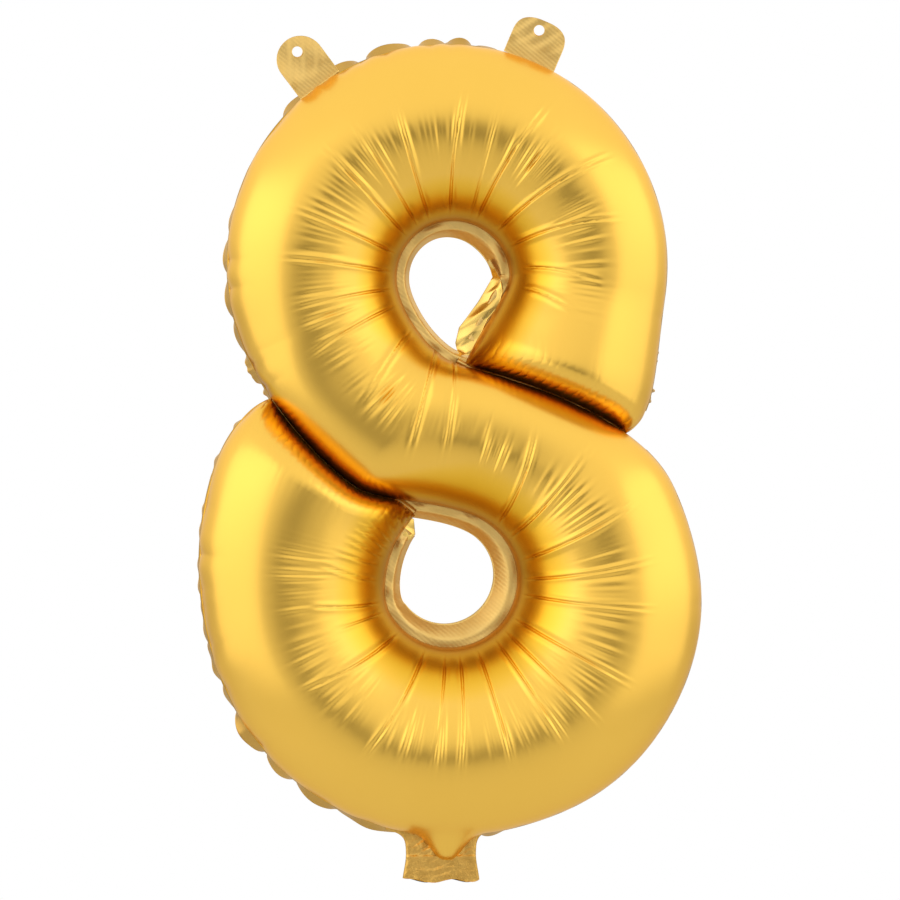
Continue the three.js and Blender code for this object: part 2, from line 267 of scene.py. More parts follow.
FINE_U = np.linspace(0, STRETCHES, 12001)
FINE_P, FINE_Q = (edge_at(edge, place) for edge, place in zip((EDGE_P, EDGE_Q), pair_at(FINE_U)))
FINE_MIDDLE = (FINE_P + FINE_Q) / 2
FINE_LENGTH = lengths_along(FINE_MIDDLE)
TUBE_LENGTH = FINE_LENGTH[-1]
WIDEST = np.linalg.norm(FINE_P - FINE_Q, axis=1).max()
NECK_LOW, NECK_HIGH = (np.array(corner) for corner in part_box("filling_neck"))
NECK_X = (NECK_LOW[0] + NECK_HIGH[0]) / 2


def place_at(length):
    """The edge parameter u at a length along the middle of the tube."""
    return np.interp(length, FINE_LENGTH, FINE_U)


def tube_lengths(rows, end_rows):
    """Lengths along the tube: even in the middle, and turning with the rounding at each end."""
    turn = (np.arange(end_rows) / end_rows) ** 1.3 * np.pi / 2
    end = END_LENGTH * (1 - np.cos(turn) ** (2 / END_ROUND))
    even = np.linspace(END_LENGTH, TUBE_LENGTH - END_LENGTH, rows - 2 * end_rows)
    return np.concatenate([end, even, TUBE_LENGTH - end[::-1]])


def spine_lean(u_end, spine, sign):
    """How far an end line leans over to lie against the spine: the distance from the straight
    line between its corners to the spine's edge, for shares of the width."""
    p, q = edge_at(EDGE_P, u_end)[0], edge_at(EDGE_Q, u_end)[0]
    across = unit(q - p)
    aside = np.array([across[1], -across[0]])
    along = (spine - p) @ across / np.linalg.norm(q - p)
    order = np.argsort(along)
    away = ((spine - p) @ aside)[order] - sign * END_CLEARANCE
    shares = np.linspace(0, 1, 41)
    lean = np.interp(shares, along[order], away)
    return shares, np.clip(lean, -MOST_LEAN, MOST_LEAN)


LEAN_A = spine_lean(0.0, edge_at(EDGE_Q, np.linspace(2.7, 3.95, 200)), -1)
LEAN_B = spine_lean(STRETCHES - 1e-9, edge_at(EDGE_P, np.linspace(2.2, 3.7, 200)), 1)


def tube_frame(length):
    """What each section of the tube needs: its edges, width, crown, roundness and depth. The
    depth is in proportion to the width, and closes over END_LENGTH as a superellipse."""
    u = place_at(length)
    at_p, at_q = pair_at(u)
    p, q = edge_at(EDGE_P, at_p), edge_at(EDGE_Q, at_q)
    across = q - p
    width = np.linalg.norm(across, axis=1, keepdims=True)
    across = across / width
    blend = smooth(u, 2, 4)[:, None]
    pressed_p = (smooth(at_p, 1.8, 2.5) * (1 - smooth(at_p, 3.0, 3.7)))[:, None]
    pressed_q = (smooth(at_q, 2.5, 3.15) * (1 - smooth(at_q, 3.5, 4.1)))[:, None]
    round_p = OUTER_ROUND + (HOLE_ROUND - OUTER_ROUND) * blend
    round_q = HOLE_ROUND + (OUTER_ROUND - HOLE_ROUND) * blend
    left = np.clip(1 - np.minimum(length, TUBE_LENGTH - length) / END_LENGTH, 0, 1)
    share = (1 - left ** END_ROUND) ** (1 / END_ROUND)
    return {
        "p": p, "across": across, "width": width,
        "aside": np.stack([across[:, 1], -across[:, 0]], 1),
        "crown": CROWN + (1 - 2 * CROWN) * blend,
        "round_p": round_p + (SPINE_ROUND - round_p) * pressed_p,
        "round_q": round_q + (SPINE_ROUND - round_q) * pressed_q,
        "depth": HALF_DEPTH * width / WIDEST * share[:, None],
    }


def end_lean(length, share):
    """How far a point moves towards the spine: the sum, over both ends, of the end's lean at the
    point's share of the width times an exponential that fades away from that end."""
    near_a = np.exp(-length / END_FADE)[:, None] * np.interp(share, *LEAN_A)
    near_b = np.exp(-(TUBE_LENGTH - length) / END_FADE)[:, None] * np.interp(share, *LEAN_B)
    return near_a + near_b


def sheet_grid(length, turn, side):
    """A sheet of foil before it creases. Across the tube the height is a superellipse of the
    share of the width, rounder outside than beside the hole; along it the depth follows the
    width and closes as a superellipse at each end. The ends lean on the spine, and the bottom
    edge runs down into the filling neck as a narrow throat."""
    f = tube_frame(length)
    c = np.abs(np.cos(turn))[None, :]
    early = (turn < np.pi / 2)[None, :]
    share = np.where(early, f["crown"] * (1 - c), f["crown"] + (1 - f["crown"]) * c)
    power = np.where(early, f["round_p"], f["round_q"])
    height = np.maximum(0, 1 - c ** power) ** (1 / power)
    plane = f["p"][:, None, :] + f["across"][:, None, :] * (share * f["width"])[..., None]
    plane = plane + f["aside"][:, None, :] * end_lean(length, share)[..., None]
    beside = np.abs(plane[..., 0] - NECK_X - FUNNEL_X) / FUNNEL_WIDTH
    lowest = smooth(-plane[..., 1], -FOIL_LOW[2] - 30 * MM, -FOIL_LOW[2] - 8 * MM)
    plane[..., 1] -= FUNNEL_DROP * lowest * np.exp(-beside ** 2.6 - (1 - share) / 0.018)
    y = side * (RIM + f["depth"] * height)
    return np.stack([plane[..., 0], y, plane[..., 1]], -1), share


def grid_normals(grid):
    """Unit normals of a grid, from its two differences."""
    return unit(np.cross(np.gradient(grid, axis=0), np.gradient(grid, axis=1)))


# ---- Creases and ripples ----

# Each crease runs outwards beside a hole: its angle at the hole and at its far end, in
# degrees, where it starts and ends, in mm from the middle of the hole, and how deep it is.
UPPER_CREASES = [
    (138, 135.7, 30, 76, 1), (125.4, 123.9, 30, 77, 0.8), (114, 110, 30, 79, 1), (95.6, 88.2, 30, 82, 1),
    (78, 77, 30, 75, 0.6), (72, 63, 29, 83, 1.1), (51, 40, 29, 80, 1.2), (33, 21.5, 29, 71, 1),
    (11, -1, 30, 60, 0.8), (-6, -15, 30, 50, 0.8), (156, 157, 30, 74, 1), (172, 173, 30, 72, 0.9),
    (187, 190, 30, 69, 0.8), (202, 207, 30, 69, 0.9), (227, 232, 29, 66, 1), (253, 254, 29, 76, 1.1),
    (269, 265, 30, 78, 0.7),
]
LOWER_CREASES = [
    (50, 61, 33, 74, 1.2), (36, 44, 33, 80, 1.2), (16, 23, 33, 82, 1), (1, 6, 33, 83, 0.8),
    (-11, -8, 33, 83, 0.8), (-31, -30, 33, 83, 1), (-43, -44, 33, 83, 1), (-53, -55, 33, 83, 1),
    (-69, -72, 33, 82, 1), (-83, -88, 33, 82, 1), (-94, -96.5, 33, 80, 0.8), (-110, -117, 33, 82, 1.1),
    (-135, -144, 33, 76, 1.2), (-163, -171, 33, 63, 0.8), (180, 172, 33, 55, 0.8),
    (-155, -158, 33, 52, 0.5), (168, 165, 33, 50, 0.6), (161, 157, 32, 46, 0.7), (154, 149, 31, 44, 0.8),
    (147, 141, 30, 43, 0.8), (140, 133, 30, 42, 0.8), (133, 125, 30, 40, 0.7), (127, 118, 30, 39, 0.6),
]
CREASE_DEPTH = 2.4 * MM
CREASE_WIDTH = 0.6 * MM
CREASE_FLOOR = 0.2 * MM  # half width of a valley's rounded floor
DIP_DEPTH = 0.18 * MM  # of the broad hollow that a crease lies in
DIP_WIDTH = 5 * MM
FORK_HEIGHT = 0.22 * MM
FORK_GAP = 1.5 * MM
FORK_WIDTH = 0.6 * MM
BACK_JITTER = 4  # the most that the back's creases stray from the front's, in degrees


def crease(x, z, centre, row):
    """Relief of one crease: a sharp valley with raised lips that fades at both ends and forks
    into two fine ridges at its far end. It lies along the line on which the angle round the
    hole changes evenly with the radius."""
    angle_in, angle_out, start, reach, strength = row
    dx, dz = x - centre[0], z - centre[1]
    radius = np.hypot(dx, dz)
    part = (radius - start * MM) / ((reach - start) * MM)
    line = np.radians(angle_in + (angle_out - angle_in) * np.clip(part, -0.2, 1.2))
    turn = np.arctan2(dz, dx) - line
    beside = radius * ((turn + np.pi) % (2 * np.pi) - np.pi)
    fade = smooth(part, -0.04, 0.1) * (1 - smooth(part, 0.62, 1.02))
    valley = np.exp(-np.hypot(beside, CREASE_FLOOR) / CREASE_WIDTH)
    lips = np.exp(-(beside / (2.8 * CREASE_WIDTH)) ** 2)
    dip = np.exp(-(beside / DIP_WIDTH) ** 2)
    fork = np.exp(-((np.abs(beside) - FORK_GAP) / FORK_WIDTH) ** 2)
    fork = FORK_HEIGHT * fork * smooth(part, 0.5, 0.8) * (1 - smooth(part, 0.9, 1.12))
    return strength * (fade * (CREASE_DEPTH * (0.55 * lips - valley) - DIP_DEPTH * dip) + fork)


# Short folds elsewhere: where each starts and ends, in mm from the middle of the upper
# loop, and its depth; a negative depth is a raised line.
SHORT_FOLDS = [
    ((39.6, -53), (47.5, -45), 0.9), ((53.4, -58.9), (59, -50.5), 0.9), ((64.6, -66.2), (68.5, -59.5), 0.7),
    ((-18, -63), (-14, -77), -0.25), ((-15.5, -63), (-11.5, -78), -0.3), ((-1, -58), (-3, -78), -0.3),
    ((2, -58), (0, -80), -0.25), ((5, -59), (3.5, -76), -0.25), ((27, -61), (24.5, -79), -0.25),
    ((31, -61), (29, -82), -0.3), ((35, -63), (33.5, -80), -0.25), ((-24, -68), (-21, -80), -0.2),
]


def short_fold(x, z, start, end, depth):
    """Relief of a straight fold between two points, fading at both of its ends."""
    a, b = near(UPPER_OUTER, *start), near(UPPER_OUTER, *end)
    size = np.linalg.norm(b - a)
    along = ((x - a[0]) * (b - a)[0] + (z - a[1]) * (b - a)[1]) / size ** 2
    beside = ((z - a[1]) * (b - a)[0] - (x - a[0]) * (b - a)[1]) / size
    fade = smooth(along, -0.15, 0.2) * (1 - smooth(along, 0.7, 1.1))
    valley = np.exp(-np.hypot(beside, CREASE_FLOOR) / CREASE_WIDTH)
    lips = np.exp(-(beside / (2.6 * CREASE_WIDTH)) ** 2)
    return -depth * MM * fade * (valley - 0.5 * lips)


def even_noise(length, wave, seed, terms=24):
    """Smooth noise along the tube: sines whose wavelengths lie round the one given."""
    draw = np.random.default_rng(seed)
    waves = wave * draw.uniform(0.6, 1.7, terms)
    phase = draw.uniform(0, 2 * np.pi, terms)
    return np.sin(2 * np.pi * length[:, None] / waves + phase).sum(1) / math.sqrt(terms / 2)


RIPPLE_HEIGHT = 0.17 * MM
RIPPLE_WAVE = 3.8 * MM
SWELL_HEIGHT = 0.25 * MM
PUCKER_HEIGHT = 1.1 * MM
PUCKER_WAVE = 19 * MM
PUCKER_REACH = 0.04  # how far in from the weld they die away, as a share of the width


def ripples(length, share, crown, seed):
    """Fine folds across the crown: noise along the tube, times a bell across it that is centred
    a little towards the hole, fading at both ends."""
    from_hole = np.where(length < TUBE_LENGTH / 2, 1, -1)[:, None] * (share - crown)
    band = np.exp(-((from_hole - 0.08) / 0.11) ** 2)
    strength = 0.7 + 0.4 * even_noise(length, 30 * MM, seed + 1)[:, None]
    away = smooth(np.minimum(length, TUBE_LENGTH - length), 25 * MM, 60 * MM)[:, None]
    return RIPPLE_HEIGHT * band * strength * away * even_noise(length, RIPPLE_WAVE, seed)[:, None]


def puckers(length, share, seed):
    """Swellings beside the outer weld, strongest on the left: the size of a sine, so rounded
    between sharp notches, times an exponential of the distance from the weld."""
    outer = np.where((length < TUBE_LENGTH / 2)[:, None], share, 1 - share)
    drift = 0.35 * even_noise(length, 40 * MM, seed)
    wave = np.abs(np.sin(np.pi * (length / PUCKER_WAVE + drift)))[:, None]
    u = place_at(length)
    left = smooth(u, 1.35, 1.6) * (1 - smooth(u, 2.1, 2.4)) + smooth(u, 4.75, 5)
    strength = PUCKER_HEIGHT * (0.25 + 0.75 * left[:, None])
    return strength * (wave - 0.7) * np.exp(-np.maximum(outer, 0) / PUCKER_REACH)


def foil_detail(grid, length, share, side):
    """How far each point of a sheet stands off its smooth shape: the sum of all its creases,
    short folds, ripples and puckers, and of a slow swell that is strongest half-way across."""
    x, z = grid[..., 0], grid[..., 2]
    u = place_at(length)[:, None]
    crown = CROWN + (1 - 2 * CROWN) * smooth(u, 2, 4)
    upper = 1 - smooth(u, 3.3, 3.6)
    lower = smooth(u, 2.6, 2.9)
    off = np.zeros(x.shape)
    loops = ((upper, UPPER_HUB[0], UPPER_CREASES), (lower, LOWER_HOLE[0], LOWER_CREASES))
    for loop, centre, rows in loops:
        for row in rows:
            if side > 0:
                jitter = rng.uniform(-BACK_JITTER, BACK_JITTER)
                row = (row[0] + jitter, row[1] + jitter, *row[2:])
            off += loop * crease(x, z, centre, row)
    for start, end, depth in SHORT_FOLDS:
        off += short_fold(x, z, start, end, depth)
    seed = 20 if side < 0 else 50
    off += ripples(length, share, crown, seed)
    off += puckers(length, share, seed + 5)
    off += SWELL_HEIGHT * even_noise(length, 60 * MM, seed + 9)[:, None] * np.sin(np.pi * share)
    return off


# ---- Meshes from grids ----

def grid_faces(rows, columns, first=0, looped=False):
    i = np.arange(rows if looped else rows - 1)[:, None]
    j = np.arange(columns - 1)[None, :]
    a = first + i * columns + j
    b = first + (i + 1) % rows * columns + j
    return np.stack([a, b, b + 1, a + 1], -1).reshape(-1, 4)


def grid_borders(rows, columns, first=0, looped=False):
    """The closed loops of points round a grid's rim."""
    index = first + np.arange(rows * columns).reshape(rows, columns)
    if looped:
        return [index[:, 0], index[:, -1]]
    return [np.concatenate([index[0, :-1], index[:-1, -1], index[-1, :0:-1], index[:0:-1, 0]])]


def stitch(outer, inner):
    """Faces that join two rims; the inner one has as many points, or half as many."""
    if len(outer) == len(inner):
        return np.stack([outer, np.roll(outer, -1), np.roll(inner, -1), inner], 1).tolist()
    even, odd, after = outer[::2], outer[1::2], np.roll(outer, -2)[::2]
    onward = np.roll(inner, -1)
    parts = [(even, odd, inner), (odd, onward, inner), (odd, after, onward)]
    return np.concatenate([np.stack(part, 1) for part in parts]).tolist()


def signed_volume(points, faces):
    """Six times the volume inside the faces, below zero where they point inwards."""
    total = 0.0
    for size in (3, 4):
        some = np.array([f for f in faces if len(f) == size])
        for k in range(1, size - 1 if len(some) else 1):
            a, b, c = (points[some[:, n]] for n in (0, k, k + 1))
            total += np.einsum("ij,ij->", a, np.cross(b, c))
    return total


def new_object(name, data):
    """A new object in the scene."""
    thing = bpy.data.objects.new(name, data)
    bpy.context.scene.collection.objects.link(thing)
    return thing


def shell(name, outside, inside, looped=False):
    """A closed piece between two grids of points, with smooth faces that point out."""
    points = np.concatenate([outside.reshape(-1, 3), inside.reshape(-1, 3)])
    first = outside.shape[0] * outside.shape[1]
    faces = grid_faces(*outside.shape[:2], 0, looped).tolist()
    faces += grid_faces(*inside.shape[:2], first, looped)[:, ::-1].tolist()
    rims = zip(grid_borders(*outside.shape[:2], 0, looped), grid_borders(*inside.shape[:2], first, looped))
    for side, (outer, inner) in enumerate(rims):
        joined = stitch(outer, inner)
        faces += [face[::-1] for face in joined] if side == (0 if not looped else 1) else joined
    if signed_volume(points, faces) < 0:
        faces = [face[::-1] for face in faces]
    mesh = bpy.data.meshes.new(name)
    mesh.from_pydata(points.tolist(), [], faces)
    mesh.polygons.foreach_set("use_smooth", np.ones(len(mesh.polygons), bool))
    mesh.validate()
    mesh.update()
    return new_object(name, mesh)


def film(name, grid, thickness, material, nodes, looped=False):
    """A thin closed film laid half its thickness to each side of a grid."""
    normal = grid_normals(grid)
    piece = shell(name, grid + normal * thickness / 2, grid - normal * thickness / 2, looped)
    piece.data.materials.append(material)
    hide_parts(*nodes)
    return piece


def edge_and_out(edge, u):
    """Points on an edge, and unit vectors square to it that point away from the tube."""
    base = edge_at(edge, u)
    along = unit(np.gradient(base, axis=0))
    out = np.stack([along[:, 1], -along[:, 0]], 1)
    return base, out * -np.sign((out * (middle_at(u) - base)).sum(1, keepdims=True))


def beside_edge(base, way, reach, back):
    """A grid that leaves an edge in the plane of the welds by a reach, and leans back from it."""
    plane = base[:, None] + way * reach[..., None]
    return np.stack([plane[..., 0], back, plane[..., 1]], -1)


# ---- Finishes ----

class Wiring:
    """Short ways to add nodes to a material or a world."""

    def __init__(self, owner):
        owner.use_nodes = True
        self.nodes = owner.node_tree.nodes
        self.links = owner.node_tree.links

    def maths(self, operation, *values):
        """One operation on numbers or on other nodes' outputs."""
        node = self.nodes.new("ShaderNodeMath")
        node.operation = operation
        for socket, value in zip(node.inputs, values):
            if isinstance(value, (int, float)):
                socket.default_value = value
            else:
                self.links.new(value, socket)
        return node.outputs[0]


class Finish(Wiring):
    """A Principled material and short ways to vary it."""

    def __init__(self, name, **inputs):
        self.material = bpy.data.materials.new(name)
        super().__init__(self.material)
        self.shader = self.nodes["Principled BSDF"]
        for socket, value in inputs.items():
            self.shader.inputs[socket.replace("_", " ")].default_value = value
        self.place = self.nodes.new("ShaderNodeTexCoord").outputs["Object"]

    def noise(self, scale, detail=3.0):
        """Cloudy noise with about scale blotches to the metre."""
        node = self.nodes.new("ShaderNodeTexNoise")
        node.inputs["Scale"].default_value = scale
        node.inputs["Detail"].default_value = detail
        self.links.new(self.place, node.inputs["Vector"])
        return node.outputs["Fac"]

    def lines(self, direction, wave):
        """Parallel lines: a sine of the distance along a direction."""
        node = self.nodes.new("ShaderNodeVectorMath")
        node.operation = "DOT_PRODUCT"
        node.inputs[1].default_value = direction
        self.links.new(self.place, node.inputs[0])
        return self.maths("SINE", self.maths("MULTIPLY", node.outputs["Value"], 2 * math.pi / wave))

    def mixed(self, factor, first, second):
        node = self.nodes.new("ShaderNodeMix")
        node.data_type = "RGBA"
        node.inputs["A"].default_value = (*first, 1)
        node.inputs["B"].default_value = (*second, 1)
        self.links.new(factor, node.inputs["Factor"])
        return node.outputs["Result"]

    def colour(self, factor, first, second):
        self.links.new(self.mixed(factor, first, second), self.shader.inputs["Base Color"])

    def tinted(self, below, above):
        """The base colour is one colour multiplied by another."""
        node = self.nodes.new("ShaderNodeMix")
        node.data_type = "RGBA"
        node.blend_type = "MULTIPLY"
        node.inputs["Factor"].default_value = 1.0
        self.links.new(below, node.inputs["A"])
        self.links.new(above, node.inputs["B"])
        self.links.new(node.outputs["Result"], self.shader.inputs["Base Color"])

    def roughness(self, scale, low, high):
        """The roughness varies cloudily between two numbers."""
        node = self.nodes.new("ShaderNodeMapRange")
        node.inputs["To Min"].default_value = low
        node.inputs["To Max"].default_value = high
        self.links.new(self.noise(scale), node.inputs["Value"])
        self.links.new(node.outputs[0], self.shader.inputs["Roughness"])

    def relief(self, height, distance, strength=1.0):
        node = self.nodes.new("ShaderNodeBump")
        node.inputs["Distance"].default_value = distance
        node.inputs["Strength"].default_value = strength
        self.links.new(height, node.inputs["Height"])
        self.links.new(node.outputs[0], self.shader.inputs["Normal"])


def gold_foil():
    """Satin gold film: a metal with slightly cloudy colour and roughness and a fine grain. Its base colour
    carries painted shade, darker and a deeper brownish gold, where it turns in round a hole, where it turns
    in beside the other tube and at both ends; it is gathered in close pleats at both ends."""
    finish = Finish("satin_gold_foil", Metallic=1.0, Coat_Weight=0.22, Coat_Roughness=0.3,
                    Specular_Tint=(1.0, 0.8, 0.5, 1))
    plain = finish.mixed(finish.noise(28), (0.94, 0.57, 0.09), (0.965, 0.595, 0.104))
    place = finish.nodes.new("ShaderNodeAttribute")
    place.attribute_name = "painted_shade_and_place_in_foil"
    split = finish.nodes.new("ShaderNodeSeparateXYZ")
    finish.links.new(place.outputs["Vector"], split.inputs[0])
    ramp = finish.nodes.new("ShaderNodeValToRGB")
    ramp.color_ramp.interpolation = "B_SPLINE"
    # Painted shade: the plain gold is multiplied by this ramp, which darkens it to a deep brownish gold
    # where the foil turns in to a hole or to the other tube and at the ends.
    stops = [(0, (0.4, 0.24, 0.03)), (0.22, (0.72, 0.59, 0.08)), (0.5, (0.86, 0.76, 0.13)),
             (0.78, (0.98, 0.94, 0.5)), (1, (1, 1, 1))]
    while len(ramp.color_ramp.elements) < len(stops):
        ramp.color_ramp.elements.new(0.5)
    for stop, (position, colour) in zip(ramp.color_ramp.elements, stops):
        stop.position = position
        stop.color = (*colour, 1)
    finish.links.new(split.outputs[0], ramp.inputs[0])
    finish.tinted(plain, ramp.outputs[0])
    finish.roughness(60, 0.27, 0.32)
    clumps = finish.maths("MULTIPLY", finish.noise(420), 0.5)
    grain = finish.maths("ADD", finish.noise(2600, 1.0), clumps)
    pleat = finish.maths("MULTIPLY", split.outputs[1], math.pi / 3.6)
    pleat = finish.maths("ADD", pleat, finish.maths("MULTIPLY", finish.noise(90), 4.0))
    pleat = finish.maths("ABSOLUTE", finish.maths("SINE", pleat))
    near_end = finish.maths("EXPONENT", finish.maths("MULTIPLY", split.outputs[2], -1 / 5))
    pleat = finish.maths("MULTIPLY", finish.maths("MULTIPLY", pleat, near_end), 60.0)
    finish.relief(finish.maths("ADD", grain, pleat), 0.012 * MM, 0.7)
    return finish.material


def welded_foil():
    """Two plies of the same film welded flat: duller, with fine diagonal pressing lines."""
    finish = Finish("welded_foil", Metallic=1.0, Coat_Weight=0.2, Coat_Roughness=0.4)
    finish.colour(finish.noise(90), (0.8, 0.5, 0.13), (0.95, 0.66, 0.22))
    finish.roughness(140, 0.36, 0.5)
    pressed = finish.maths("MULTIPLY", finish.lines((0.64, 0, 0.77), 1.5 * MM), 0.25)
    finish.relief(finish.maths("ADD", pressed, finish.noise(500)), 0.08 * MM, 0.7)
    return finish.material


def painted_shade_folded_foil():
    """The outer weld, folded back behind the body: the same film with painted shade, a deeper, browner
    colour for the shade it lies in behind the body.
    """
    finish = Finish("painted_shade_folded_foil", Metallic=1.0, Coat_Weight=0.1, Coat_Roughness=0.4)
    # Painted shade: darker, browner gold than the sheets, for the shade behind the body.
    finish.colour(finish.noise(60), (0.4, 0.22, 0.04), (0.76, 0.46, 0.11))
    finish.roughness(140, 0.3, 0.42)
    finish.relief(finish.noise(420), 0.12 * MM, 0.8)
    return finish.material


def tail_foil():
    """The film of the tail, rubbed and finely crumpled: mottled gold and brown."""
    finish = Finish("tail_foil", Metallic=1.0, Coat_Weight=0.2, Coat_Roughness=0.4)
    finish.colour(finish.noise(240, 6.0), (0.48, 0.25, 0.04), (0.92, 0.56, 0.13))
    finish.roughness(300, 0.3, 0.45)
    finish.relief(finish.maths("ADD", finish.noise(700, 5.0), finish.noise(260, 4.0)), 0.5 * MM, 0.8)
    return finish.material


def crumpled_foil():
    """Bare crumpled film: brighter and smoother, so that each facet shines."""
    finish = Finish("crumpled_foil", Metallic=1.0)
    finish.colour(finish.noise(120), (0.94, 0.6, 0.12), (0.98, 0.68, 0.2))
    finish.roughness(200, 0.2, 0.3)
    return finish.material


def valve_film():
    """Thin clear-white film of the self-sealing valve."""
    finish = Finish("valve_film", Roughness=0.3, IOR=1.5, Transmission_Weight=0.6)
    finish.colour(finish.noise(150), (0.88, 0.9, 0.9), (0.94, 0.95, 0.95))
    finish.relief(finish.noise(700), 0.03 * MM, 0.5)
    return finish.material


# ---- Foil sheets ----

def reach_of_painted_shade(place, stops):
    """How far in mm the painted shade reaches from an edge, at each place along it."""
    return np.interp(place, *zip(*stops)) * MM


def painted_shade_depth(length, share, width):
    """Where the painted shade falls: about 0 where the foil turns in to a hole or to the other tube, where
    the shade is painted darkest, a half at an end, and 1 or more elsewhere, where none is painted: a soft
    least (a sum of negative powers) of the distances from both edges over the painted shade's reach there,
    and of the one from the nearer end over 12 mm plus a half."""
    at_p, at_q = pair_at(place_at(length))
    reach_p = reach_of_painted_shade(at_p, [(1.95, 0.05), (2.4, 5), (3, 5), (3.8, 23)])[:, None]
    reach_q = reach_of_painted_shade(at_q, [(2.2, 19), (3.1, 5), (3.5, 4), (4, 0.05)])[:, None]
    from_end = np.minimum(length, TUBE_LENGTH - length)[:, None] / (12 * MM) + 0.5
    away = [share * width / reach_p, (1 - share) * width / reach_q, from_end + 0 * share]
    soft = 6.0
    return (np.clip(away, 0.01, 3) ** -soft).sum(0) ** (-1 / soft)


ROWS, END_ROWS, COLUMNS = 1601, 30, 49
FILM = 0.12 * MM


def foil_sheet(name, node, side, material):
    """One sheet of foil: the creased outside, and a coarser inside one film thickness in. It carries each
    point's place in the painted shade, and its place across the tube and from the nearer end in mm."""
    length = tube_lengths(ROWS, END_ROWS)
    turn = np.linspace(0, np.pi, COLUMNS)
    grid, share = sheet_grid(length, turn, side)
    normal = grid_normals(grid)
    normal *= side * np.sign(normal[ROWS // 2, COLUMNS // 2, 1])
    rim = smooth(np.abs(grid[..., 1]), RIM, 1.5 * MM)
    outside = grid + normal * foil_detail(grid, length, share, side)[..., None] * rim[..., None]
    inside = (outside - normal * FILM)[::2, ::2]
    piece = shell(name, outside, inside)
    width = tube_frame(length)["width"]
    from_end = np.minimum(length, TUBE_LENGTH - length)[:, None] / MM + 0 * share
    # The first fact says where painted shade darkens the gold; the others are the place across the tube and
    # from the nearer end.
    facts = np.stack([painted_shade_depth(length, share, width), share * width / MM, from_end], -1)
    facts = np.concatenate([facts.reshape(-1, 3), facts[::2, ::2].reshape(-1, 3)])
    layer = piece.data.attributes.new("painted_shade_and_place_in_foil", "FLOAT_VECTOR", "POINT")
    layer.data.foreach_set("vector", facts.ravel())
    piece.data.materials.append(material)
    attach(piece, "balloon")
    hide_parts(node)


# ---- Outer welds ----

WELD_WIDTH = 5.2 * MM
WELD_FILM = 0.2 * MM
WELD_STEP = 0.7 * MM
WELD_CLEAR = 0.5 * MM  # of a folded weld from the sheet that it lies on
WELD_TUCK = 0.9 * MM
SHEET_HALF = 50 * MM  # half width of the ellipse that the back sheet curves away on
WELD_ACROSS = 9
# Lobes of the weld that stand clear of the body, the rest being folded back: the angle of
# the middle of each, half its width, both in degrees round the loop, and its height in mm.
UPPER_LOBES = [
    (133, 5.5, 3), (120.5, 7, 4.6), (105.5, 6.4, 4.6), (93.7, 3.9, 3.4), (87.2, 3.6, 3.9), (79.5, 3.8, 2.2),
    (145, 6, 0.8), (156, 6, 1), (167, 5.5, 1.4), (177.8, 5, 2.6), (188.8, 5.6, 2.6), (199.4, 5, 2.4),
    (208.5, 4.6, 3.2), (-24, 5, 1.2), (-33, 4.5, 1.4), (-41, 4, 1), (217, 4.5, 2),
]
LOWER_LOBES = [
    (187, 5.5, 1.8), (197, 5.2, 2.6), (206, 4, 2), (215.2, 6, 5), (226, 4.6, 3.6), (236.7, 6.2, 3.8),
    (250.5, 9, 3.4), (176, 6, 1.5), (164, 6, 1.4), (152, 6, 1.4), (140, 6, 1.6), (279, 5.5, 1.8),
]


def lobe_height(degrees, lobes):
    """How far the weld stands out at each angle: a rounded arch over each lobe."""
    height = np.zeros(degrees.shape)
    for middle, half, rise in lobes:
        away = ((degrees - middle + 180) % 360 - 180) / half
        height = np.maximum(height, rise * MM * np.maximum(0, 1 - away ** 2) ** 0.6)
    return height


def outer_weld(name, node, edge, span, circle, lobes, seed, material):
    """The welded margin along an outer edge. It stands on the edge and folds back by the
    angle whose cosine is the lobe's height over its width, curling a little more at its rim.
    Where it folds right back it lies on the back sheet, which curves away as an ellipse."""
    rough = edge_at(edge, np.linspace(*span, 400))
    steps = int(np.linalg.norm(np.diff(rough, axis=0), axis=1).sum() / WELD_STEP)
    u = np.linspace(*span, steps)
    base, out = edge_and_out(edge, u)
    angle = np.degrees(np.arctan2(*(base - circle[0]).T[::-1]))
    length = np.arange(steps) * WELD_STEP
    ruffle = 0.05 * even_noise(length, 14 * MM, seed)
    from_end = np.minimum(np.arange(steps), steps - 1 - np.arange(steps))
    taper = smooth(from_end, 0, 8)
    height = lobe_height(angle, lobes) * taper
    fold = np.arccos(np.clip(height / WELD_WIDTH - 0.03, -0.03, 0.97)) + ruffle
    v = np.linspace(0, 1, WELD_ACROSS)
    turn = fold[:, None] * smooth(v, -0.35, 0.25)[None, :] + 0.25 * ruffle[:, None] * v
    step = WELD_WIDTH / (WELD_ACROSS - 1)
    outwards = np.cumsum(np.cos(turn) * step, 1) - step * 1.4
    back = np.cumsum(np.sin(turn) * step, 1) - np.sin(turn[:, :1]) * step
    sheet_away = SHEET_HALF * (1 - np.sqrt(1 - (back / HALF_DEPTH) ** 2))
    root = 1 - smooth(v, 0, 0.3)[None, :]
    outwards = np.maximum(outwards, (WELD_CLEAR - sheet_away) * (1 - root) - WELD_TUCK * root)
    grid = beside_edge(base, out[:, None], outwards, back)
    piece = film(name, grid, WELD_FILM, material, [node])
    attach(piece, "balloon")


# ---- Welds round the holes ----

LIP_FLAT = 3.3 * MM
LIP_BACK = 4.6 * MM
LIP_TUCK = 1.2 * MM
LIP_ACROSS = 16


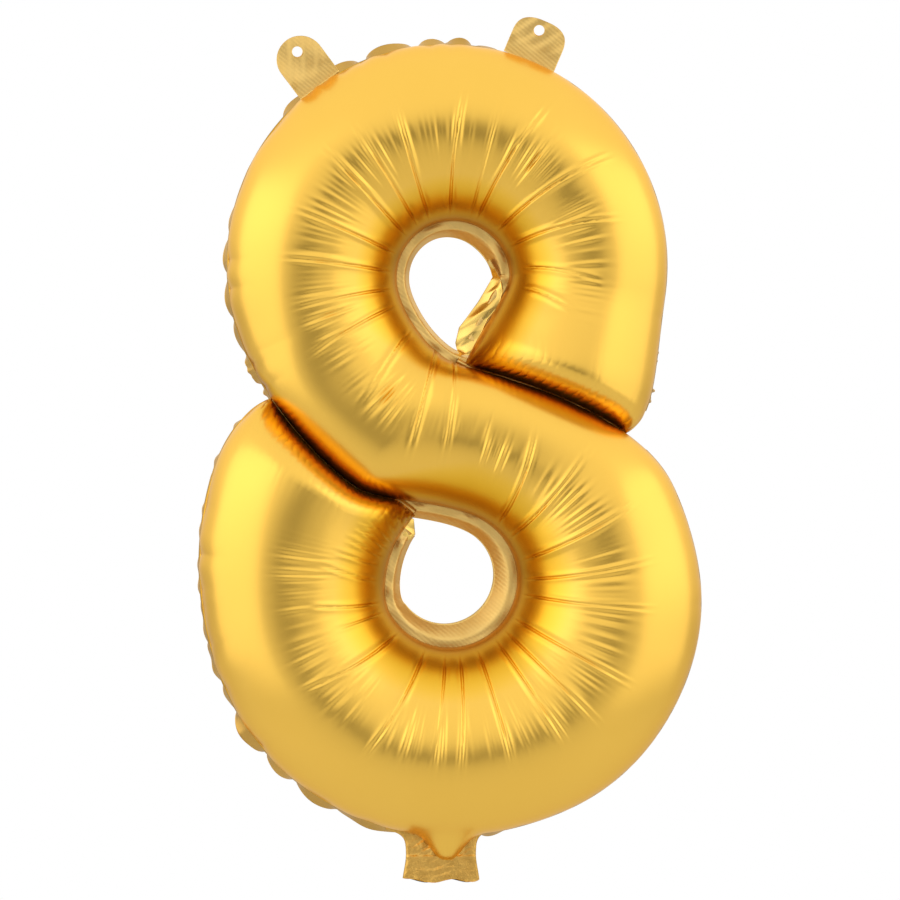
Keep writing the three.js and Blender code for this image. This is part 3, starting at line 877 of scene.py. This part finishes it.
def hole_lip(name, node, edge, span, slope, seed, material):
    """The weld inside a hole: a flat ring, then a funnel that leans back and inwards. The
    funnel's inward reach goes from slope[0] to slope[1] mm as the squared cosine of half the
    angle from slope[2] degrees, to the power slope[3]."""
    u = np.linspace(*span, 420)
    base, inward = edge_and_out(edge, u)
    angle = np.arctan2(inward[:, 1], inward[:, 0]) + np.pi
    turned = np.cos((angle - math.radians(slope[2])) / 2) ** 2
    reach = (slope[0] + (slope[1] - slope[0]) * turned ** slope[3]) * MM
    v = np.linspace(0, 1, LIP_ACROSS)
    flat = np.minimum(v / 0.5, 1)
    lean = np.clip((v - 0.5) / 0.5, 0, 1)
    inwards = -LIP_TUCK + (LIP_FLAT + LIP_TUCK) * flat[None, :] + reach[:, None] * lean
    length = np.linspace(0, 200 * MM, len(u))
    wave = 0.25 * MM * even_noise(length, 22 * MM, seed)[:, None] * smooth(inwards, 0, 2 * MM)
    back = LIP_BACK * lean ** 1.15 + wave
    grid = beside_edge(base, inward[:, None], inwards, back)
    piece = film(name, grid, WELD_FILM, material, [node])
    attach(piece, "balloon")


FACET_SIZE = 8.5  # mm
TAIL_FACET_SIZE = 2.6  # mm


def crumple(x, z, seed, size):
    """Sharp facets: a sum of triangle waves in random directions, between -1 and 1."""
    draw = np.random.default_rng(seed)
    total = np.zeros(x.shape)
    for strength in (0.5, 0.3, 0.2):
        angle, phase = draw.uniform(0, np.pi), draw.uniform(0, 2)
        wave = ((x * np.cos(angle) + z * np.sin(angle)) / size + phase) % 2
        total += strength * (2 * np.abs(wave - 1) - 1)
        size *= 0.62
    return total


def along_line(points, count):
    """Evenly spaced points on a line through a few given ones."""
    points = np.array(points, float)
    place = lengths_along(points)
    spots = np.linspace(0, place[-1], count)
    return np.stack([np.interp(spots, place, points[:, k]) for k in (0, 1)], -1)


def crumpled_margin(name, node, circle, outer, inner, lift, height, seed, material):
    """A loose strip of margin crushed beside a hole: the surface between an outer and an inner
    line, given in mm from the hole's middle. It stands lift[0] mm back at the outer line and
    lift[1] at the inner one, broken into facets up to height mm deep."""
    rows, columns = 90, 22
    a, b = along_line(outer, rows), along_line(inner, rows)
    v = np.linspace(0, 1, columns)[None, :, None]
    plane = a[:, None] * (1 - v) + b[:, None] * v
    facets = height * crumple(plane[..., 0], plane[..., 1], seed, FACET_SIZE)
    bow = np.sin(np.pi * v[..., 0])
    y = lift[0] + (lift[1] - lift[0]) * v[..., 0] + facets * (0.35 + 0.65 * bow)
    grid = np.stack([plane[..., 0], y, plane[..., 1]], -1) * MM
    grid += np.array([circle[0][0], 0, circle[0][1]])
    piece = film(name, grid, WELD_FILM, material, [node])
    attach(piece, "balloon")


def end_weld(name, node, u_end, lean, sign, tip, material):
    """The weld pressed between an end and the spine: a narrow strip along the end line, which
    rolls forward into a free edge where it comes out at the hole. tip is the share at the hole."""
    p, q = edge_at(EDGE_P, u_end)[0], edge_at(EDGE_Q, u_end)[0]
    across = q - p
    aside = unit(np.array([across[1], -across[0]]))
    share = np.linspace(1 - round(tip), tip, 200) * 0.98 + 0.01
    free = smooth(np.abs(share - tip), 0.3, 0.02)  # falls from 1 at the tip to 0
    base = p + across * share[:, None] + aside * np.interp(share, *lean)[:, None]
    v = np.linspace(0, 1, 9)
    width = (0.9 + 2.2 * free) * MM
    out = sign * width[:, None] * (v - 0.25)
    y = -free[:, None] * 1.5 * MM * np.sin(np.pi * v) - 0.3 * MM * free[:, None]
    grid = beside_edge(base, aside, out, y)
    piece = film(name, grid, 0.12 * MM, material, [node])
    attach(piece, "balloon")


# ---- Hanging tabs ----

TAB_HOLE = 4.5 * MM
TAB_ROOT = 4.0 * MM  # part of a tab that lies in the weld
TAB_FILM = 0.25 * MM


def tongue(half, length, shoulder, power, count):
    """Outline of a tongue as evenly spaced points: straight sides up to the shoulder, closed by
    half a superellipse of the given power."""
    turn = np.linspace(0, np.pi, 60)
    across = half * np.sign(np.cos(turn)) * np.abs(np.cos(turn)) ** (2 / power)
    up = shoulder + (length - shoulder) * np.sin(turn) ** (2 / power)
    foot = [[-half, -TAB_ROOT], [half, -TAB_ROOT]]
    points = np.concatenate([foot, np.stack([across, up], 1), foot[:1]])
    return along_line(points, count + 1)[:-1]


def hanging_tab(hand, size, hole, shift, curl, seed, material):
    """A welded tongue with a hanging hole: rings from the hole out to the outline, bent a
    little out of the plane and faintly pressed in two directions. size is the half width, the
    length, the height of the shoulders and the power of the top; shift is along the weld and
    curl is how far the top bends back. Lengths are in mm."""
    *lengths, power = size
    half, length, shoulder = (value * MM for value in lengths)
    facts = next(j for j in frame["joints"] if j["name"] == f"{hand}_tab_bend")
    root = np.array(facts["pos_m"])
    axis = np.array(facts["axis"])
    up = np.array([-axis[2], 0, axis[0]])
    outline = tongue(half, length, shoulder, power, 220)
    centre = np.array(hole) * MM
    ring = centre + unit(outline - centre) * TAB_HOLE / 2
    v = np.linspace(0, 1, 26)[None, :, None]
    flat = ring[:, None] * (1 - v) + outline[:, None] * v
    a, b = flat[..., 0], flat[..., 1]
    y = curl * MM * (np.maximum(b, 0) / length) ** 2
    y += 0.35 * MM * smooth(b, 0, 5 * MM) * np.sin((a * 0.8 + b * 0.45) / (2.6 * MM) + seed)
    y += 0.14 * MM * smooth(b, 0, 5 * MM) * np.sin((a - b * 0.7) / (1.1 * MM) + 2 * seed)
    backwards = np.array([0, 1, 0])
    grid = root + (a + shift * MM)[..., None] * axis + b[..., None] * up + y[..., None] * backwards
    node = f"{hand}_hanging_tab"
    piece = film(f"{hand}_tab_tongue", grid, TAB_FILM, material, [node], looped=True)
    start, end = root - up * 0.5 * MM, root + up * 3 * MM
    tuple(start)
    tuple(end)
    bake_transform(piece)


# ---- Filling neck and tail ----

TAIL_LOW, TAIL_HIGH = (np.array(corner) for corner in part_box("tail_front_ply"))
NECK_TUCK = 5 * MM
TAIL_FLARE = 1.6 * MM
SHOULDER = 4.4 * MM
TAIL_FILM = 0.16 * MM


def spot(x, drop, place, size):
    """1 at a place on the tail, fading round it as a bell. The place is in mm to the right of
    the neck's middle and down from its top, and the size is in mm both ways."""
    across = (x - NECK_X) / MM - place[0]
    down = drop / MM - place[1]
    return np.exp(-(across / size[0]) ** 2 - (down / size[1]) ** 2)


def tail_ply(name, nodes, side, seed, material):
    """One ply of the flat neck and its open tail. Its half width is the neck's, with a rounded
    shoulder where it leaves the body and a slight flare at the open end, whose edge waves.
    Creases, a pressed fold line and a crumple by the throat stand a little off the flat."""
    v = np.linspace(0, 1, 90)[:, None]
    a = np.linspace(-1, 1, 72)[None, :]
    half = (NECK_HIGH[0] - NECK_LOW[0]) / 2
    top = NECK_HIGH[2] + NECK_TUCK
    rim = TAIL_LOW[2] + 1.2 * MM
    edge = rim + 0.8 * MM * np.sin(a * 5.8 + 0.1 + 0.5 * side) + 1.1 * MM * np.abs(a) ** 8
    z = top + (edge - top) * v
    drop = NECK_HIGH[2] - z
    shoulder = np.minimum(SHOULDER * np.exp(-(drop - 2.9 * MM) / (1.9 * MM)), 2 * SHOULDER)
    flare = TAIL_FLARE * smooth(drop, 12 * MM, 25 * MM)
    x = NECK_X + a * (half + shoulder + flare)
    crumpling = spot(x, drop, (-5.5, 9), (5, 3.5)) + 0.5 * spot(x, drop, (10, 8), (3, 4))
    facets = crumple(x / MM, z / MM, seed, TAIL_FACET_SIZE)
    pleats = 0.2 * np.sin((drop + 1.5 * MM * np.sin(x / (6 * MM))) / (0.55 * MM))
    pleats = pleats * spot(x, drop, (-2, 19), (7, 3))
    fold = 0.4 * np.exp(-((drop - (NECK_HIGH[2] - TAIL_HIGH[2])) / (0.5 * MM)) ** 2)
    swell = 0.35 * smooth(drop, 3 * MM, 14 * MM) * np.cos(2.6 * a + 0.8 * side) ** 2
    relief = 0.3 + swell + fold + pleats + 1.1 * crumpling * (facets + 0.4)
    relief = relief + 0.18 * facets * smooth(drop, 4 * MM, 10 * MM)
    sides = np.minimum(1, 14 * (1 - np.abs(a)))
    y = side * MM * (0.1 + np.maximum(relief, 0) * sides)
    grid = np.stack([x, y + 0 * x, z + 0 * x], -1)
    piece = film(name, grid, TAIL_FILM, material, nodes)
    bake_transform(piece)


# ---- All the pieces ----

GOLD = gold_foil()
WELDED = welded_foil()
CRUMPLED = crumpled_foil()
TAIL = tail_foil()
FOLDED_PAINTED_SHADE = painted_shade_folded_foil()
VALVE = valve_film()

foil_sheet("front_sheet", "front_foil", -1, GOLD)
foil_sheet("back_sheet", "back_foil", 1, GOLD)

# Each outer weld: where it is, its edge, its span of the edge, its loop, its lobes and a seed.
OUTER_WELDS = [
    ("upper_outer", EDGE_P, (0.3, 2.4), UPPER_OUTER, UPPER_LOBES, 3),
    ("lower_right", EDGE_Q, (3.82, 4.67), LOWER_OUTER, LOWER_LOBES, 4),
    ("lower_left", EDGE_Q, (4.74, 5.9), LOWER_OUTER, LOWER_LOBES, 5),
]
for where, *shape in OUTER_WELDS:
    outer_weld(f"{where}_weld", f"{where}_seam", *shape, FOLDED_PAINTED_SHADE)

hole_lip("upper_hole_weld", "upper_hole_seam", EDGE_Q, (0.1, 3.3), (2.1, 5, 42, 4), 6, WELDED)
hole_lip("lower_hole_weld", "lower_hole_seam", EDGE_P, (3.3, 5.97), (2.4, 7.6, -45, 1), 7, WELDED)

UPPER_CRUMPLE_OUTER = [
    (14.4, 10.3), (19.6, 1), (20.3, -4.2), (18.3, -10.1), (13.7, -16), (10.4, -23.3), (8, -28.4),
    (6.8, -31),
]
UPPER_CRUMPLE_INNER = [
    (14.2, 8.7), (16, 2.4), (9.8, -8.1), (4.5, -15.4), (1.5, -19.3), (-0.1, -25.9), (0.6, -29),
    (2, -31.2),
]
LOWER_CRUMPLE_OUTER = [(-19.5, 27), (-22.5, 23), (-25.5, 18.3), (-27.6, 13.3), (-28.6, 8.6), (-28.4, 3)]
LOWER_CRUMPLE_INNER = [(-15.2, 26), (-14.6, 19.3), (-20, 14.8), (-21, 13.7), (-23.2, 8.4), (-24, 2.5)]
crumpled_margin("upper_crumpled_margin", "upper_hole_seam", UPPER_HUB, UPPER_CRUMPLE_OUTER,
                UPPER_CRUMPLE_INNER, (-0.5, 2.2), 1.4, 21, CRUMPLED)
crumpled_margin("lower_crumpled_margin", "lower_hole_seam", LOWER_HOLE, LOWER_CRUMPLE_OUTER,
                LOWER_CRUMPLE_INNER, (-0.5, 1.6), 0.9, 22, CRUMPLED)

end_weld("upper_end_weld", "upper_end_seam", 0.0, LEAN_A, -1, 1.06, WELDED)
end_weld("lower_end_weld", "lower_end_seam", STRETCHES - 1e-9, LEAN_B, 1, 0.0, WELDED)

hanging_tab("left", (10.3, 20.2, 9.9, 2.0), (0.9, 13.5), 2.3, 0.8, 1, WELDED)
hanging_tab("right", (11.7, 14.7, 5, 2.8), (-1.1, 10.1), -1.5, -0.6, 2, WELDED)

tail_ply("tail_front_film", ["filling_neck", "tail_front_ply"], -1, 31, TAIL)
tail_ply("tail_back_film", ["tail_back_ply"], 1, 32, TAIL)

# The valve's plies are flat and hidden, so they keep their own meshes and only get a finish.
for name in ("valve_front_ply", "valve_back_ply"):
    materials = frame["nodes"][name].data.materials
    materials.clear()
    materials.append(VALVE)


# ---- Camera, light and floor ----

VIEW_WIDTH = 387 * MM
VIEW_DISTANCE = 1.7
VIEW_TURN = -2.5
VIEW_CENTRE = (1.7 * MM, 0.0, -177.2 * MM)
SENSOR = 36  # mm
FLOOR_HALF = 4.0
FLOOR_DROP = 0.9  # below the balloon, which hangs


def aim(thing, target):
    way = Vector(target) - thing.location
    thing.rotation_mode = "QUATERNION"
    thing.rotation_quaternion = way.to_track_quat("-Z", "Y")


def add_camera():
    """A camera a little to one side of straight ahead, whose view is VIEW_WIDTH wide at the
    middle of the balloon."""
    data = bpy.data.cameras.new("camera")
    data.sensor_width = SENSOR
    data.lens = SENSOR * VIEW_DISTANCE / VIEW_WIDTH
    camera = new_object("camera", data)
    turn = math.radians(VIEW_TURN)
    back = np.array([math.sin(turn), -math.cos(turn), 0]) * VIEW_DISTANCE
    camera.location = np.array(VIEW_CENTRE) + back
    aim(camera, VIEW_CENTRE)
    bpy.context.scene.camera = camera


def add_softbox(name, azimuth, elevation, distance, width, height, strength):
    """A large soft light; its brightness is its power over its area and pi."""
    data = bpy.data.lights.new(name, "AREA")
    data.shape = "RECTANGLE"
    data.size, data.size_y = width, height
    data.energy = strength * width * height * math.pi
    light = new_object(name, data)
    a, e = math.radians(azimuth), math.radians(elevation)
    way = np.array([math.sin(a) * math.cos(e), -math.cos(a) * math.cos(e), math.sin(e)])
    light.location = np.array(VIEW_CENTRE) + way * distance
    aim(light, VIEW_CENTRE)
    light.visible_camera = False


def add_world():
    """White to the camera. For light and reflections it is bright above, darker below, and
    darkest in a patch round the camera, where nothing lit stands in the room."""
    world = bpy.data.worlds.new("studio")
    bpy.context.scene.world = world
    wiring = Wiring(world)
    nodes, links, maths = wiring.nodes, wiring.links, wiring.maths
    nodes.clear()
    out = nodes.new("ShaderNodeOutputWorld")
    mix = nodes.new("ShaderNodeMixShader")
    seen = nodes.new("ShaderNodeBackground")
    seen.inputs["Color"].default_value = (1, 1, 1, 1)
    around = nodes.new("ShaderNodeBackground")
    path = nodes.new("ShaderNodeLightPath")
    where = nodes.new("ShaderNodeTexCoord")
    split = nodes.new("ShaderNodeSeparateXYZ")
    links.new(where.outputs["Generated"], split.inputs[0])

    def ranged(value, low, high, start, stop):
        node = nodes.new("ShaderNodeMapRange")
        node.interpolation_type = "SMOOTHSTEP"
        for name, number in zip(("From Min", "From Max", "To Min", "To Max"), (low, high, start, stop)):
            node.inputs[name].default_value = number
        links.new(value, node.inputs["Value"])
        return node.outputs[0]

    beside = ranged(maths("ABSOLUTE", maths("ADD", split.outputs["X"], 0.04)), 0.14, 0.4, 1, 0)
    under = ranged(split.outputs["Z"], -0.06, 0.14, 1, 0)
    ahead = ranged(split.outputs["Y"], -0.5, -0.2, 1, 0)
    patch = maths("MULTIPLY", maths("MULTIPLY", beside, under), ahead)
    height = ranged(split.outputs["Z"], -0.4, 0.4, 0.55, 1.3)
    links.new(maths("SUBTRACT", height, maths("MULTIPLY", patch, 0.52)), around.inputs["Strength"])
    links.new(path.outputs["Is Camera Ray"], mix.inputs[0])
    links.new(around.outputs[0], mix.inputs[1])
    links.new(seen.outputs[0], mix.inputs[2])
    links.new(mix.outputs[0], out.inputs["Surface"])


def add_floor():
    drop = cad_box[0].z - FLOOR_DROP
    corners = [(FLOOR_HALF * x, FLOOR_HALF * y, drop) for x, y in ((-1, -1), (1, -1), (1, 1), (-1, 1))]
    mesh = bpy.data.meshes.new("floor")
    mesh.from_pydata(corners, [], [(0, 1, 2, 3)])
    floor = new_object("floor", mesh)
    pale = Finish("pale_floor", Base_Color=(0.64, 0.64, 0.63, 1), Roughness=0.9)
    mesh.materials.append(pale.material)


add_camera()
add_world()
add_softbox("left_softbox", -74, 4, 1.6, 2.5, 1.7, 0.66)
add_softbox("right_softbox", 72, 5, 1.6, 2.5, 1.8, 0.55)
add_floor()
bpy.context.scene.view_settings.view_transform = "Standard"
